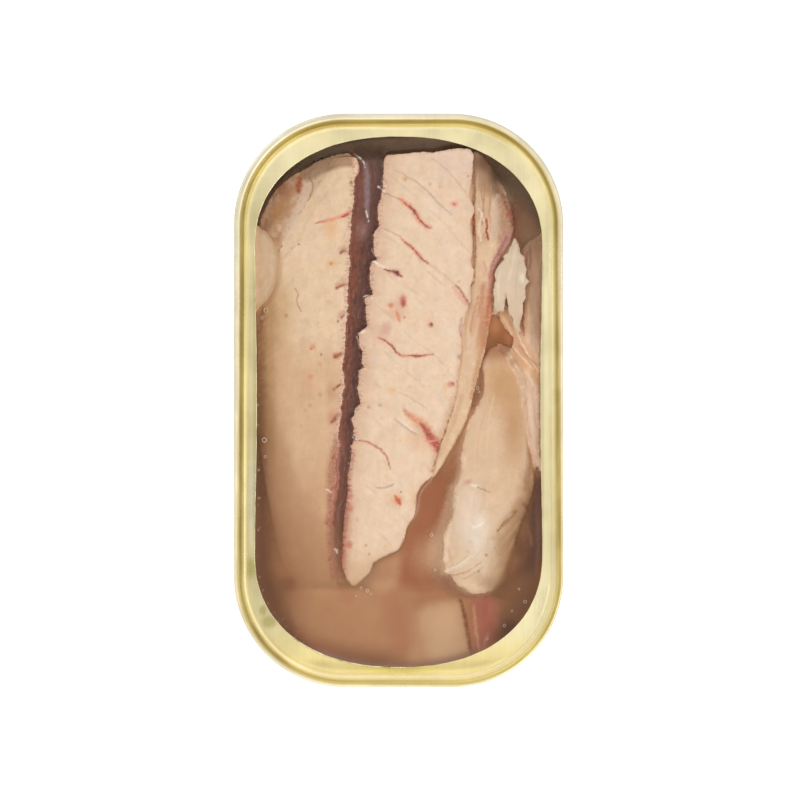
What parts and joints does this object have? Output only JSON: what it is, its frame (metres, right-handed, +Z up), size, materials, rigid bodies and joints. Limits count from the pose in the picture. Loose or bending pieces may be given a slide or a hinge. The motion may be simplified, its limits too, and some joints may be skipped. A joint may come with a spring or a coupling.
{
  "type": "opened tin of mackerel",
  "caption": "Opened rectangular fish tin with rounded corners: gold-lacquered can, torn end ring, pale mackerel fillet with a dark band and loose pieces in brown juice.",
  "frame": {"origin": "middle of the base, on the surface that the tin stands on", "axes": "+Z up out of the opening, +Y along the tin's long side, +X across it"},
  "size_m": [0.0604, 0.105, 0.029],
  "materials": {
    "can": "satin gold lacquer on drawn aluminium",
    "ring": "satin gold lacquer on pressed aluminium",
    "flesh": "moist pale cooked fish",
    "dark_flesh": "moist dark cooked fish",
    "juice": "cloudy brown fish juice, glossy"
  },
  "bodies": {
    "root": {"can_body": "can", "end_ring": "ring", "loin_left": "flesh", "loin_right": "flesh", "dark_muscle": "dark_flesh", "belly_flap": "flesh", "upper_flesh": "flesh", "side_sliver": "flesh", "white_flake": "flesh", "wall_strip": "flesh", "thick_chunk": "flesh", "sunk_block": "flesh", "sunk_red": "dark_flesh", "juice": "juice"}
  },
  "joints": []
}
